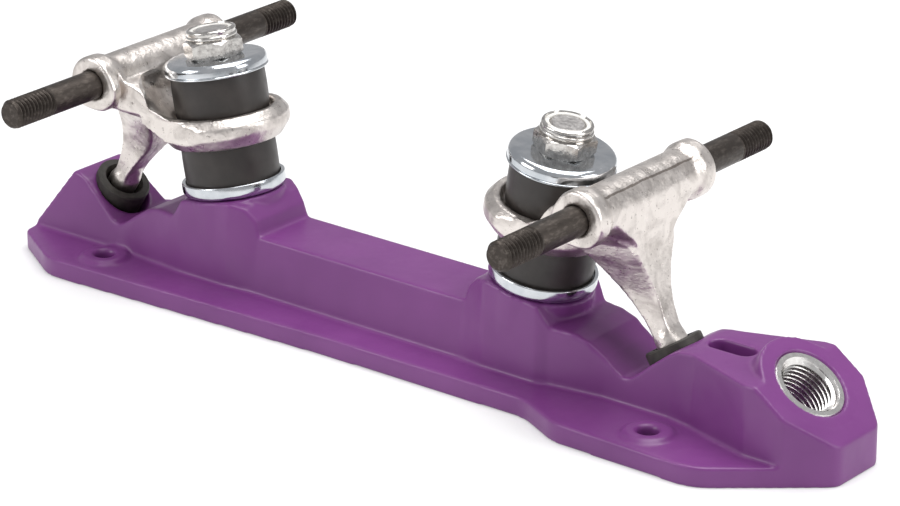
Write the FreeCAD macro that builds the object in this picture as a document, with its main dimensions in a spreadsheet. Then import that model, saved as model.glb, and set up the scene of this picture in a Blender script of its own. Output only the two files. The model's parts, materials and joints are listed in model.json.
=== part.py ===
import FreeCAD, Part
import math
import os
import Sketcher

# A quad roller skate plate, seen with its sole face on Z = 0 and its trucks standing up.
# X runs from heel to toe, Y across the plate, and X = 0 lies midway between the two axles.
# All lengths are in millimetres and all angles in degrees.

DRIVING = {
    # Running gear as a whole
    "wheelbase": 163.1,
    "axle_height": 58.0,
    "axle_length": 112.0,
    "axle_radius": 4.0,
    "axle_seat_radius": 4.3,
    "axle_chamfer": 0.8,
    # Sole flange of the plate
    "flange_thickness": 5.5,
    "heel_overhang": 35.45,
    "heel_end_half": 16.9,
    "heel_corner_overhang": 15.5,
    "heel_half": 28.9,
    "waist_half": 24.4,
    "neck_setback": 16.5,
    "neck_half": 23.7,
    "ball_setback": 2.0,
    "ball_half": 30.8,
    "tread_overhang": 41.0,
    "tread_half": 31.7,
    "nose_corner_overhang": 58.1,
    "nose_half": 17.9,
    "toe_overhang": 68.95,
    "toe_half": 9.0,
    "outline_round": 14.0,
    "corner_round": 4.0,
    # Raised body of the plate: spine, bosses, valleys and nose
    "block_height": 31.0,
    "spine_height": 20.8,
    "spine_foot_half": 14.8,
    "spine_top_half": 8.1,
    "boss_foot_half": 14.6,
    "boss_top_half": 13.2,
    "boss_inner_run": 8.7,
    "boss_outer_run": 8.3,
    "ledge_height": 21.1,
    "ledge_run": 11.6,
    "ledge_foot_half": 13.4,
    "ledge_top_half": 11.4,
    "valley_setback": 1.0,
    "valley_foot_half": 10.9,
    "valley_top_half": 9.6,
    "crest_overhang": 18.7,
    "nose_height": 24.5,
    "brow_overhang": 26.5,
    "brow_foot_half": 12.6,
    "brow_top_half": 9.8,
    "cheek_overhang": 47.0,
    "heel_foot_half": 13.6,
    "heel_top_half": 8.2,
    "heel_crest_overhang": 22.9,
    "heel_crest_height": 23.7,
    "heel_step_height": 6.6,
    # Kingpin seats
    "kingpin_setback": 28.95,
    "kingpin_tilt": 10.0,
    "boss_height": 27.7,
    "boss_radius": 14.0,
    "boss_depth": 24.0,
    "kingpin_radius": 4.76,
    "kingpin_clearance": 0.15,
    "kingpin_head_flats": 14.3,
    "kingpin_head_height": 5.6,
    "kingpin_head_depth": 20.4,
    "kingpin_recess": 0.5,
    "kingpin_chamfer": 0.6,
    "head_pocket_gap": 0.2,
    # Cushion stack, counted up the kingpin from the boss
    "retainer_sheet": 1.6,
    "retainer_wall": 1.2,
    "retainer_round": 2.0,
    "retainer_bend": 0.6,
    "lower_rim_height": 4.0,
    "upper_skirt_depth": 4.1,
    "retainer_hole_gap": 0.25,
    "cushion_radius": 13.0,
    "cushion_crown": 0.25,
    "cushion_chamfer": 1.0,
    "cushion_bore_gap": 0.3,
    "lower_cushion_height": 14.9,
    "upper_cushion_height": 14.9,
    "cup_gap": 0.05,
    "soft_gap": 0.3,
    # Lock nut and its nylon ring
    "nut_flats": 14.3,
    "nut_hex_height": 4.7,
    "nut_collar_height": 3.3,
    "nut_collar_radius": 7.1,
    "nut_collar_lip": 0.5,
    "nut_chamfer": 0.7,
    "nut_thread_gap": 0.05,
    "lock_ring_radius": 6.2,
    "lock_ring_height": 2.2,
    # Pivot cups in the plate
    "pivot_reach": 12.95,
    "pivot_height": 20.3,
    "pivot_tilt": 32.3,
    "cup_radius": 7.7,
    "cup_depth": 11.0,
    "cup_lip": 0.8,
    "cup_mouth_flare": 0.6,
    "ball_depth": 4.5,
    "ball_radius": 4.7,
    "ball_gap": 0.3,
    "pin_radius": 4.2,
    "pin_rise": 7.0,
    "pin_shoulder": 4.2,
    "pin_neck": 1.3,
    # Toe stop socket
    "toe_setout": 54.45,
    "toe_height": 21.1,
    "toe_tilt": 36.0,
    "toe_boss_radius": 14.6,
    "toe_boss_depth": 14.5,
    "toe_ring_radius": 12.9,
    "toe_ring_width": 0.7,
    "toe_ring_depth": 0.5,
    "insert_radius": 10.0,
    "insert_length": 16.5,
    "insert_bore_radius": 6.85,
    "insert_chamfer": 1.1,
    "insert_step": 0.4,
    # Obround recess on the nose, holes for the sole screws, cored underside
    "recess_setout": 30.85,
    "recess_length": 13.5,
    "recess_width": 5.8,
    "recess_depth": 4.5,
    "screw_hole_radius": 2.75,
    "screw_pad_radius": 6.75,
    "screw_pad_rise": 0.6,
    "front_screw_setout": 20.85,
    "front_screw_half": 21.5,
    "rear_screw_setout": 3.15,
    "rear_screw_half": 18.7,
    "core_depth": 15.0,
    "core_rib": 2.6,
    "core_half_length": 33.0,
    "core_half_width": 9.6,
    "core_cells": 4,
    # Cast hanger: ring round the cushions
    "ring_radius": 17.9,
    "ring_top_radius": 16.0,
    "ring_foot_radius": 15.1,
    "ring_bevel": 2.4,
    "ring_foot_bevel": 3.6,
    "ring_web": 4.0,
    "ring_seat_depth": 2.4,
    "ring_seat_draft": 0.7,
    "ring_seat_gap": 0.4,
    "hub_hole_radius": 7.6,
    # Cast hanger: barrel, arms and leg
    "barrel_radius": 6.6,
    "barrel_half": 25.0,
    "collar_radius": 7.8,
    "collar_length": 4.6,
    "collar_blend": 2.4,
    "collar_chamfer": 0.7,
    "axle_fit": 0.01,
    "arm_half": 20.5,
    "arm_ring_half": 17.0,
    "arm_clearance": 2.8,
    "arm_knee_run": 6.5,
    "arm_knee_rise": 2.6,
    "arm_belly_run": 14.4,
    "arm_belly_drop": 10.6,
    "arm_root_drop": 7.6,
    "arm_crest_run": 13.9,
    "arm_crest_rise": 1.9,
    "arm_brow_run": 9.4,
    "arm_brow_rise": 0.6,
    "arm_lip_run": 4.1,
    "arm_lip_rise": 2.9,
    "leg_tilt": 28.0,
    "leg_start": 1.0,
    "leg_length": 34.0,
    "leg_foot_width": 5.6,
    "leg_foot_depth": 5.4,
    "leg_top_half": 19.0,
}

DOC = FreeCAD.newDocument("skate_plate")
VECTOR = FreeCAD.Vector
PAST = 1.0  # how far a cutting outline runs beyond the face that it opens


class Size:
    """A length or an angle that remembers the sheet names it was worked out from."""

    def __init__(self, value, text=None):
        self.value = float(value)
        self.text = text if text is not None else repr(float(value))

    def __add__(self, other):
        other = as_size(other)
        return Size(self.value + other.value, f"({self.text} + {other.text})")

    __radd__ = __add__

    def __sub__(self, other):
        other = as_size(other)
        return Size(self.value - other.value, f"({self.text} - {other.text})")

    def __rsub__(self, other):
        return as_size(other) - self

    def __mul__(self, other):
        other = as_size(other)
        return Size(self.value * other.value, f"({self.text} * {other.text})")

    __rmul__ = __mul__

    def __truediv__(self, other):
        other = as_size(other)
        return Size(self.value / other.value, f"({self.text} / {other.text})")

    def __neg__(self):
        return Size(-self.value, f"(0 - {self.text})")


def as_size(amount):
    return amount if isinstance(amount, Size) else Size(amount)


def sine(angle):
    return Size(math.sin(math.radians(angle.value)), f"sin({angle.text} * 1 deg)")


def cosine(angle):
    return Size(math.cos(math.radians(angle.value)), f"cos({angle.text} * 1 deg)")


def make_sheet():
    """Fill the sheet with the driving sizes and return them by name."""
    sheet = DOC.addObject("Spreadsheet::Sheet", "dims")
    sheet.Label = "dims"
    named = {}
    for row, (alias, value) in enumerate(DRIVING.items(), start=1):
        sheet.set(f"A{row}", alias.replace("_", " "))
        sheet.set(f"B{row}", str(value))
        sheet.setAlias(f"B{row}", alias)
        named[alias] = Size(value, f"dims.{alias}")
    DOC.recompute()
    return type("Sizes", (), named)


s = make_sheet()


def bind(target, path, amount):
    """Tie one property of an object to the sheet."""
    if isinstance(amount, Size) and "dims." in amount.text:
        target.setExpression(path, amount.text)


def origin_plane(body, role):
    return next(item for item in body.Origin.OriginFeatures if item.Role == role)


def new_body(label):
    body = DOC.addObject("PartDesign::Body", label)
    body.Label = label
    return body


def new_sketch(body, name, role="XZ_Plane", at=(0, 0), lift=0, turn=0, axis=(0, 0, 1)):
    """A sketch on one of the body's own origin planes, shifted in the plane and turned."""
    sketch = body.newObject("Sketcher::SketchObject", name)
    sketch.AttachmentSupport = [(origin_plane(body, role), "")]
    sketch.MapMode = "FlatFace"
    shift = [as_size(at[0]), as_size(at[1]), as_size(lift)]
    turn = as_size(turn)
    base = VECTOR(*[amount.value for amount in shift])
    sketch.AttachmentOffset = FreeCAD.Placement(base, FreeCAD.Rotation(VECTOR(*axis), turn.value))
    for letter, amount in zip("xyz", shift):
        bind(sketch, f"AttachmentOffset.Base.{letter}", amount)
    bind(sketch, "AttachmentOffset.Rotation.Angle", turn)
    return sketch


def hold_on_axis(sketch, kind, edge, end):
    """Keep a sketch point on the sketch's own Y axis (its line -2) or X axis (its line -1)."""
    line = -2 if kind == "DistanceX" else -1
    sketch.addConstraint(Sketcher.Constraint("PointOnObject", edge, end, line))


def hold_distance(sketch, kind, edge, end, amount):
    """Fix one coordinate of a sketch point, measured from the sketch's origin, its point (-1, 1)."""
    if abs(amount.value) < 1e-9:
        hold_on_axis(sketch, kind, edge, end)
        return
    if amount.value > 0:
        ends = (-1, 1, edge, end)
    else:
        ends = (edge, end, -1, 1)
        amount = -amount
    index = sketch.addConstraint(Sketcher.Constraint(kind, *ends, amount.value))
    bind(sketch, f"Constraints[{index}]", amount)


def hold_point(sketch, edge, end, x, y):
    hold_distance(sketch, "DistanceX", edge, end, as_size(x))
    hold_distance(sketch, "DistanceY", edge, end, as_size(y))


def outline(sketch, corners):
    """A closed outline of straight lines through the corners."""
    corners = [(as_size(x), as_size(y)) for x, y in corners]
    points = [VECTOR(x.value, y.value, 0) for x, y in corners]
    count = len(points)
    first = sketch.GeometryCount
    for index in range(count):
        sketch.addGeometry(Part.LineSegment(points[index], points[(index + 1) % count]), False)
    for index in range(count):
        joined = (first + index, 2, first + (index + 1) % count, 1)
        sketch.addConstraint(Sketcher.Constraint("Coincident", *joined))
    for index, (x, y) in enumerate(corners):
        hold_point(sketch, first + index, 1, x, y)
    return sketch


def circle(sketch, x, y, radius):
    x, y, radius = as_size(x), as_size(y), as_size(radius)
    centre = VECTOR(x.value, y.value, 0)
    edge = sketch.addGeometry(Part.Circle(centre, VECTOR(0, 0, 1), radius.value), False)
    hold_point(sketch, edge, 3, x, y)
    index = sketch.addConstraint(Sketcher.Constraint("Radius", edge, radius.value))
    bind(sketch, f"Constraints[{index}]", radius)
    return sketch


def obround(sketch, x, y, length, width):
    """A slot outline along the sketch's X axis."""
    reach = (length - width) / 2
    radius = width / 2
    flat = reach.value
    up = VECTOR(0, 0, 1)
    centres = (x.value + flat, x.value - flat)
    right_circle = Part.Circle(VECTOR(centres[0], y.value, 0), up, radius.value)
    left_circle = Part.Circle(VECTOR(centres[1], y.value, 0), up, radius.value)
    quarter = math.pi / 2
    right = sketch.addGeometry(Part.ArcOfCircle(right_circle, -quarter, quarter), False)
    left = sketch.addGeometry(Part.ArcOfCircle(left_circle, quarter, 3 * quarter), False)
    high = y.value + radius.value
    low = y.value - radius.value
    top = sketch.addGeometry(Part.LineSegment(VECTOR(centres[0], high, 0), VECTOR(centres[1], high, 0)), False)
    foot = sketch.addGeometry(Part.LineSegment(VECTOR(centres[1], low, 0), VECTOR(centres[0], low, 0)), False)
    for pair in ((right, 2, top, 1), (top, 2, left, 1), (left, 2, foot, 1), (foot, 2, right, 1)):
        sketch.addConstraint(Sketcher.Constraint("Tangent", *pair))
    hold_point(sketch, right, 3, x + reach, y)
    hold_point(sketch, left, 3, x - reach, y)
    index = sketch.addConstraint(Sketcher.Constraint("Radius", right, radius.value))
    bind(sketch, f"Constraints[{index}]", radius)
    return sketch


def hexagon(sketch, flats):
    """A regular hexagon of the given distance across flats."""
    reach = flats / math.sqrt(3)
    corners = []
    for index in range(6):
        angle = math.radians(60 * index)
        corners.append((reach * round(math.cos(angle), 9), reach * round(math.sin(angle), 9)))
    return outline(sketch, corners)


def feature(body, kind, name, sketch, **settings):
    """A sketch based feature; sizes among its settings are tied to the sheet."""
    item = body.newObject(f"PartDesign::{kind}", name)
    item.Profile = sketch
    for key, amount in settings.items():
        setattr(item, key, amount.value if isinstance(amount, Size) else amount)
        bind(item, key, amount)
    sketch.Visibility = False
    body.Tip = item
    return item


def turned(body, kind, name, corners, at=(0, 0), turn=0, role="XZ_Plane", lift=0):
    """Turn a closed outline about the vertical axis of its sketch."""
    sketch = new_sketch(body, name + "_outline", role, at=at, turn=turn, lift=lift)
    outline(sketch, corners)
    return feature(body, kind, name, sketch, ReferenceAxis=(sketch, ["V_Axis"]), Angle=360.0)


def solid_volume(body):
    DOC.recompute()
    return body.Shape.Volume


def cut(body, kind, name, sketch, **settings):
    """A pocket or groove, with a test that it does take material away."""
    before = solid_volume(body)
    item = feature(body, kind, name, sketch, **settings)
    after = solid_volume(body)
    if after > before - 1e-3:
        raise RuntimeError(f"{body.Label}: {name} takes nothing away")
    return item


def turned_cut(body, name, corners, at=(0, 0), turn=0):
    sketch = new_sketch(body, name + "_outline", at=at, turn=turn)
    outline(sketch, corners)
    return cut(body, "Groove", name, sketch, ReferenceAxis=(sketch, ["V_Axis"]), Angle=360.0)


def edges_where(shape, test):
    return [f"Edge{index}" for index, edge in enumerate(shape.Edges, start=1) if test(edge)]


def middle_of(edge):
    return edge.valueAt((edge.FirstParameter + edge.LastParameter) / 2)


def dress(body, kind, name, test, amount):
    """Round or chamfer the edges of the tip that pass the test."""
    DOC.recompute()
    base = body.Tip
    names = edges_where(base.Shape, test)
    if not names:
        raise RuntimeError(f"{body.Label}: no edge for {name}")
    item = body.newObject(f"PartDesign::{kind}", name)
    item.Base = (base, names)
    key = "Radius" if kind == "Fillet" else "Size"
    setattr(item, key, amount.value)
    bind(item, key, amount)
    body.Tip = item
    return item


def place(body, x, z, turn):
    """Stand a body's own Z axis at a point of the middle plane, leaning in that plane."""
    x, z, turn = as_size(x), as_size(z), as_size(turn)
    body.Placement = FreeCAD.Placement(
        VECTOR(x.value, 0, z.value), FreeCAD.Rotation(VECTOR(0, 1, 0), turn.value))
    bind(body, "Placement.Base.x", x)
    bind(body, "Placement.Base.z", z)
    bind(body, "Placement.Rotation.Angle", turn)


# Places that several pieces share

AXLE_X = s.wheelbase / 2
KINGPIN_X = AXLE_X - s.kingpin_setback
PIVOT_X = AXLE_X + s.pivot_reach
TOE_X = AXLE_X + s.toe_setout

LOWER_CUSHION_FOOT = s.retainer_sheet
LOWER_CUSHION_TOP = LOWER_CUSHION_FOOT + s.lower_cushion_height
WEB_FOOT = LOWER_CUSHION_TOP + s.soft_gap
WEB_TOP = WEB_FOOT + s.ring_web
UPPER_CUSHION_FOOT = WEB_TOP + s.soft_gap
UPPER_CUSHION_TOP = UPPER_CUSHION_FOOT + s.upper_cushion_height
NUT_FOOT = UPPER_CUSHION_TOP + s.retainer_sheet
NUT_TOP = NUT_FOOT + s.nut_hex_height + s.nut_collar_height
RETAINER_RADIUS = s.cushion_radius + s.cup_gap + s.retainer_wall
RING_FOOT = WEB_FOOT - s.ring_seat_depth
RING_TOP = WEB_TOP + s.ring_seat_depth


def mirrored(stations):
    """A closed plan outline from stations of (x, half width), heel to toe."""
    return stations + [(x, -half) for x, half in reversed(stations)]


# Plate

def plate_block(body):
    """The raised body: drafted walls between a foot outline and a top outline."""
    toe_end = AXLE_X + s.toe_overhang
    valley_x = AXLE_X - s.valley_setback
    boss_inner = KINGPIN_X - s.boss_inner_run
    boss_outer = KINGPIN_X + s.boss_outer_run
    ledge_end = KINGPIN_X + s.ledge_run
    stations = [
        (-(AXLE_X + s.heel_overhang), s.heel_foot_half, s.heel_top_half),
        (-valley_x, s.heel_foot_half, s.heel_top_half),
        (-boss_outer, s.boss_foot_half, s.boss_top_half),
        (-boss_inner, s.boss_foot_half, s.boss_top_half),
        (-(boss_inner - s.boss_inner_run), s.spine_foot_half, s.spine_top_half),
        (boss_inner - s.boss_inner_run, s.spine_foot_half, s.spine_top_half),
        (boss_inner, s.boss_foot_half, s.boss_top_half),
        (boss_outer, s.boss_foot_half, s.boss_top_half),
        (ledge_end, s.ledge_foot_half, s.ledge_top_half),
        (valley_x, s.valley_foot_half, s.valley_top_half),
        (AXLE_X + s.crest_overhang, s.valley_foot_half, s.valley_top_half),
        (AXLE_X + s.brow_overhang, s.brow_foot_half, s.brow_top_half),
        (AXLE_X + s.cheek_overhang, s.nose_half, s.nose_half),
        (AXLE_X + s.nose_corner_overhang, s.nose_half, s.nose_half),
        (toe_end, s.toe_half, s.toe_half),
    ]
    foot = new_sketch(body, "block_foot", "XY_Plane")
    outline(foot, mirrored([(x, half) for x, half, _ in stations]))
    top = new_sketch(body, "block_top", "XY_Plane", lift=s.block_height)
    outline(top, mirrored([(x, half) for x, _, half in stations]))
    feature(body, "AdditiveLoft", "block", foot, Sections=[top], Ruled=True)


def boss_plane_height(run):
    """Height of the sloping boss top at a run beyond the kingpin seat."""
    return s.boss_height - run * sine(s.kingpin_tilt) / cosine(s.kingpin_tilt)


def pivot_face_height(x):
    """Height of the pivot face above the sole at a distance from mid wheelbase."""
    return s.pivot_height + (x - PIVOT_X) * sine(s.pivot_tilt) / cosine(s.pivot_tilt)


def truck_side_profile(side):
    """Top line from the spine over the kingpin boss and the valley to the pivot crest."""
    shoulder = KINGPIN_X - s.boss_inner_run
    valley_x = AXLE_X - s.valley_setback
    crest_x = AXLE_X + s.crest_overhang
    shoulder_top = boss_plane_height(-s.boss_inner_run)
    rise = shoulder_top - s.spine_height
    points = [(shoulder - s.boss_inner_run, s.spine_height)]
    for share in (30, 60):
        run = s.boss_inner_run * (1 - math.cos(math.radians(share)))
        points.append((shoulder - s.boss_inner_run + run, s.spine_height + rise * math.sin(math.radians(share))))
    points += [
        (shoulder, shoulder_top),
        (KINGPIN_X + s.boss_outer_run, boss_plane_height(s.boss_outer_run)),
        (KINGPIN_X + s.ledge_run, s.ledge_height),
        (valley_x - (s.ledge_height - pivot_face_height(valley_x)), s.ledge_height),
        (valley_x, pivot_face_height(valley_x)),
        (crest_x, pivot_face_height(crest_x)),
    ]
    return [(side * x, z) for x, z in points]


def toe_face_height(x):
    return s.toe_height - (x - TOE_X) * sine(s.toe_tilt) / cosine(s.toe_tilt)


def plate_side_profile(body):
    """Cut the block down to its side profile."""
    toe_end = AXLE_X + s.toe_overhang
    heel_end = -(AXLE_X + s.heel_overhang)
    margin = s.flange_thickness
    nose_edge = TOE_X - (s.nose_height - s.toe_height) * cosine(s.toe_tilt) / sine(s.toe_tilt)
    top_line = [
        (heel_end - margin, s.heel_step_height),
        (heel_end, s.heel_step_height),
        (-(AXLE_X + s.heel_crest_overhang), s.heel_crest_height),
    ]
    top_line += list(reversed(truck_side_profile(-1)))
    top_line += truck_side_profile(1)
    top_line += [
        (AXLE_X + s.brow_overhang, s.nose_height),
        (nose_edge, s.nose_height),
        (toe_end + margin, toe_face_height(toe_end + margin)),
    ]
    above = s.block_height + margin
    sketch = new_sketch(body, "side_profile")
    outline(sketch, top_line + [(toe_end + margin, above), (heel_end - margin, above)])
    width = 2 * (s.nose_half + margin)
    cut(body, "Pocket", "side_cut", sketch, SideType="Symmetric", Length=width)


def plate_flange(body):
    """The flat sole flange with its rounded outline."""
    heel_end = -(AXLE_X + s.heel_overhang)
    corners = [
        (heel_end, s.heel_end_half),
        (-(AXLE_X + s.heel_corner_overhang), s.heel_half),
        (0, s.waist_half),
        (AXLE_X - s.neck_setback, s.neck_half),
        (AXLE_X - s.ball_setback, s.ball_half),
        (AXLE_X + s.tread_overhang, s.tread_half),
        (AXLE_X + s.nose_corner_overhang, s.nose_half),
        (AXLE_X + s.toe_overhang, s.toe_half),
    ]
    sketch = new_sketch(body, "flange_outline", "XY_Plane")
    outline(sketch, mirrored(corners))
    feature(body, "Pad", "flange", sketch, Length=s.flange_thickness)
    rounded = [corners[1], corners[3], corners[4], corners[5]]
    spots = [(x.value, abs(y.value)) for x, y in rounded]

    def stands_at_corner(edge):
        return stands_upright(edge) and any(near_plan(edge, spot) for spot in spots)

    dress(body, "Fillet", "flange_corners", stands_at_corner, s.outline_round)
    ends = [(corners[0][0].value, corners[0][1].value), (corners[-1][0].value, corners[-1][1].value)]

    def stands_at_end(edge):
        return stands_upright(edge) and any(near_plan(edge, spot) for spot in ends)

    dress(body, "Fillet", "end_corners", stands_at_end, s.corner_round)


def stands_upright(edge):
    start, end = edge.Vertexes[0].Point, edge.Vertexes[-1].Point
    run = math.hypot(end.x - start.x, end.y - start.y)
    return run < 1e-4 and abs(end.z - start.z) > 0.5


def near_plan(edge, spot):
    point = middle_of(edge)
    return math.hypot(point.x - spot[0], abs(point.y) - spot[1]) < 0.05


def plate_bosses(body):
    """Round seats under the lower retainers and round the toe stop insert."""
    for name, side in (("front", 1), ("rear", -1)):
        seat = [(0, 0), (s.boss_radius, 0), (s.boss_radius, -s.boss_depth), (0, -s.boss_depth)]
        turned(body, "Revolution", f"{name}_boss", seat,
               at=(side * KINGPIN_X, s.boss_height), turn=-side * s.kingpin_tilt)
    collar = [(0, 0), (s.toe_boss_radius, 0), (s.toe_boss_radius, -s.toe_boss_depth),
              (0, -s.toe_boss_depth)]
    turned(body, "Revolution", "toe_boss", collar, at=(TOE_X, s.toe_height), turn=-s.toe_tilt)


SCREW_SPOTS = (
    ("front", AXLE_X + s.front_screw_setout, s.front_screw_half),
    ("rear", -(AXLE_X + s.rear_screw_setout), s.rear_screw_half),
)


def plate_screw_pads(body):
    for name, x, half in SCREW_SPOTS:
        sketch = new_sketch(body, f"{name}_screw_pads_outline", "XY_Plane")
        for y in (half, -half):
            circle(sketch, x, y, s.screw_pad_radius)
        feature(body, "Pad", f"{name}_screw_pads", sketch, Length=s.flange_thickness + s.screw_pad_rise)


def plate_screw_holes(body):
    for name, x, half in SCREW_SPOTS:
        sketch = new_sketch(body, f"{name}_screw_holes_outline", "XY_Plane")
        for y in (half, -half):
            circle(sketch, x, y, s.screw_hole_radius)
        depth = s.flange_thickness + 2 * s.screw_pad_rise
        cut(body, "Pocket", f"{name}_screw_holes", sketch, Length=depth, Reversed=True)


def plate_kingpin_bores(body):
    bore = s.kingpin_radius + s.kingpin_clearance
    for name, side in (("front", 1), ("rear", -1)):
        seat = (side * KINGPIN_X, s.boss_height)
        floor = -(s.kingpin_head_depth + PAST)
        shaft = [(0, PAST), (bore, PAST), (bore, floor), (0, floor)]
        turned_cut(body, f"{name}_kingpin_bore", shaft, at=seat, turn=-side * s.kingpin_tilt)
        depth = s.kingpin_head_depth
        pocket_x = side * (KINGPIN_X - depth * sine(s.kingpin_tilt))
        pocket_z = s.boss_height - depth * cosine(s.kingpin_tilt)
        sketch = new_sketch(body, f"{name}_head_pocket_outline", "XY_Plane", at=(pocket_x, 0),
                            lift=pocket_z, turn=side * s.kingpin_tilt, axis=(0, 1, 0))
        hexagon(sketch, s.kingpin_head_flats + 2 * s.head_pocket_gap)
        cut(body, "Pocket", f"{name}_head_pocket", sketch, Length=s.kingpin_head_depth)


def plate_pivot_sockets(body):
    for name, side in (("front", 1), ("rear", -1)):
        socket = [(0, s.cup_depth), (s.cup_radius, s.cup_depth),
                  (s.cup_radius, -s.cup_depth), (0, -s.cup_depth)]
        turned_cut(body, f"{name}_pivot_socket", socket,
                   at=(side * PIVOT_X, s.pivot_height), turn=side * s.pivot_tilt)


def plate_toe_socket(body):
    """Bore for the threaded insert and a shallow ring on the toe face."""
    at = (TOE_X, s.toe_height)
    bore = [(0, PAST), (s.insert_radius, PAST), (s.insert_radius, -s.insert_length), (0, -s.insert_length)]
    turned_cut(body, "insert_bore", bore, at=at, turn=-s.toe_tilt)
    outer = s.toe_ring_radius + s.toe_ring_width
    ring = [(s.toe_ring_radius, PAST), (outer, PAST), (outer, -s.toe_ring_depth),
            (s.toe_ring_radius, -s.toe_ring_depth)]
    turned_cut(body, "toe_ring", ring, at=at, turn=-s.toe_tilt)


def plate_nose_recess(body):
    sketch = new_sketch(body, "nose_recess_outline", "XY_Plane", lift=s.nose_height)
    obround(sketch, AXLE_X + s.recess_setout, as_size(0), s.recess_length, s.recess_width)
    cut(body, "Pocket", "nose_recess", sketch, Length=s.recess_depth)


def plate_core(body):
    """Two rows of open cells under the spine, parted by a rib along the middle."""
    cells = int(s.core_cells.value)
    pitch = 2 * s.core_half_length / s.core_cells
    sketch = new_sketch(body, "core_outline", "XY_Plane")
    for index in range(cells):
        low = -s.core_half_length + index * pitch + s.core_rib / 2
        high = -s.core_half_length + (index + 1) * pitch - s.core_rib / 2
        near = s.core_rib / 2
        for side in (1, -1):
            y_low, y_high = side * near, side * s.core_half_width
            outline(sketch, [(low, y_low), (high, y_low), (high, y_high), (low, y_high)])
    cut(body, "Pocket", "core", sketch, Length=s.core_depth, Reversed=True)


def build_plate():
    body = new_body("plate")
    plate_block(body)
    plate_side_profile(body)
    plate_bosses(body)
    plate_flange(body)
    plate_screw_pads(body)
    plate_screw_holes(body)
    plate_kingpin_bores(body)
    plate_pivot_sockets(body)
    plate_toe_socket(body)
    plate_nose_recess(body)
    plate_core(body)
    return body


def build_toe_stop_insert():
    """Steel insert with a plain bore at the thread's inner radius, coned at its mouth."""
    body = new_body("toe_stop_insert")
    outer = s.insert_radius
    bore = s.insert_bore_radius
    cone = s.insert_chamfer
    top = -s.insert_step
    foot = -s.insert_length
    profile = [(bore, top - cone), (bore + cone, top), (outer - cone / 2, top), (outer, top - cone / 2),
               (outer, foot), (bore, foot)]
    turned(body, "Revolution", "insert", profile)
    place(body, TOE_X, s.toe_height, s.toe_tilt)
    return body


# Kingpin, retainers, cushions and nut, each modelled about its own Z axis

def build_kingpin(name, side):
    body = new_body(f"{name}_kingpin")
    head = new_sketch(body, "head_outline", "XY_Plane", lift=-s.kingpin_head_depth - s.kingpin_head_height)
    hexagon(head, s.kingpin_head_flats)
    feature(body, "Pad", "head", head, Length=s.kingpin_head_height)
    top = NUT_TOP - s.kingpin_recess
    radius = s.kingpin_radius
    shank = [(0, -s.kingpin_head_depth - PAST), (radius, -s.kingpin_head_depth - PAST),
             (radius, top - s.kingpin_chamfer), (radius - s.kingpin_chamfer, top), (0, top)]
    turned(body, "Revolution", "shank", shank)
    place(body, side * KINGPIN_X, s.boss_height, side * s.kingpin_tilt)
    return body


def build_lower_retainer(name, side):
    """Pressed cup, open upwards, that seats on the plate's boss."""
    body = new_body(f"{name}_lower_retainer")
    hole = s.kingpin_radius + s.retainer_hole_gap
    inner = s.cushion_radius + s.cup_gap
    outer = RETAINER_RADIUS
    sheet = s.retainer_sheet
    rim = s.lower_rim_height
    bend = s.retainer_bend
    profile = [(hole, 0), (outer - s.retainer_round, 0), (outer - bend, bend),
               (outer, s.retainer_round), (outer, rim), (inner, rim), (inner, sheet), (hole, sheet)]
    turned(body, "Revolution", "cup", profile)
    place(body, side * KINGPIN_X, s.boss_height, side * s.kingpin_tilt)
    return body


def build_upper_retainer(name, side):
    """Pressed cap, open downwards, under the lock nut."""
    body = new_body(f"{name}_upper_retainer")
    hole = s.kingpin_radius + s.retainer_hole_gap
    inner = s.cushion_radius + s.cup_gap
    outer = RETAINER_RADIUS
    top = NUT_FOOT
    skirt = top - s.upper_skirt_depth
    under = top - s.retainer_sheet
    bend = s.retainer_bend
    profile = [(hole, top), (outer - s.retainer_round, top), (outer - bend, top - bend),
               (outer, top - s.retainer_round), (outer, skirt), (inner, skirt), (inner, under), (hole, under)]
    turned(body, "Revolution", "cap", profile)
    place(body, side * KINGPIN_X, s.boss_height, side * s.kingpin_tilt)
    return body


def build_cushion(name, side, level, foot, height):
    """Urethane cushion: a thick ring with a slight crown and chamfered ends."""
    body = new_body(f"{name}_{level}_cushion")
    bore = s.kingpin_radius + s.cushion_bore_gap
    chamfer = s.cushion_chamfer
    edge = s.cushion_radius - s.cushion_crown
    top = foot + height
    profile = [(bore, foot), (edge - chamfer, foot), (edge, foot + chamfer),
               (s.cushion_radius, foot + height / 2),
               (edge, top - chamfer), (edge - chamfer, top), (bore, top)]
    turned(body, "Revolution", "cushion", profile)
    place(body, side * KINGPIN_X, s.boss_height, side * s.kingpin_tilt)
    return body


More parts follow.
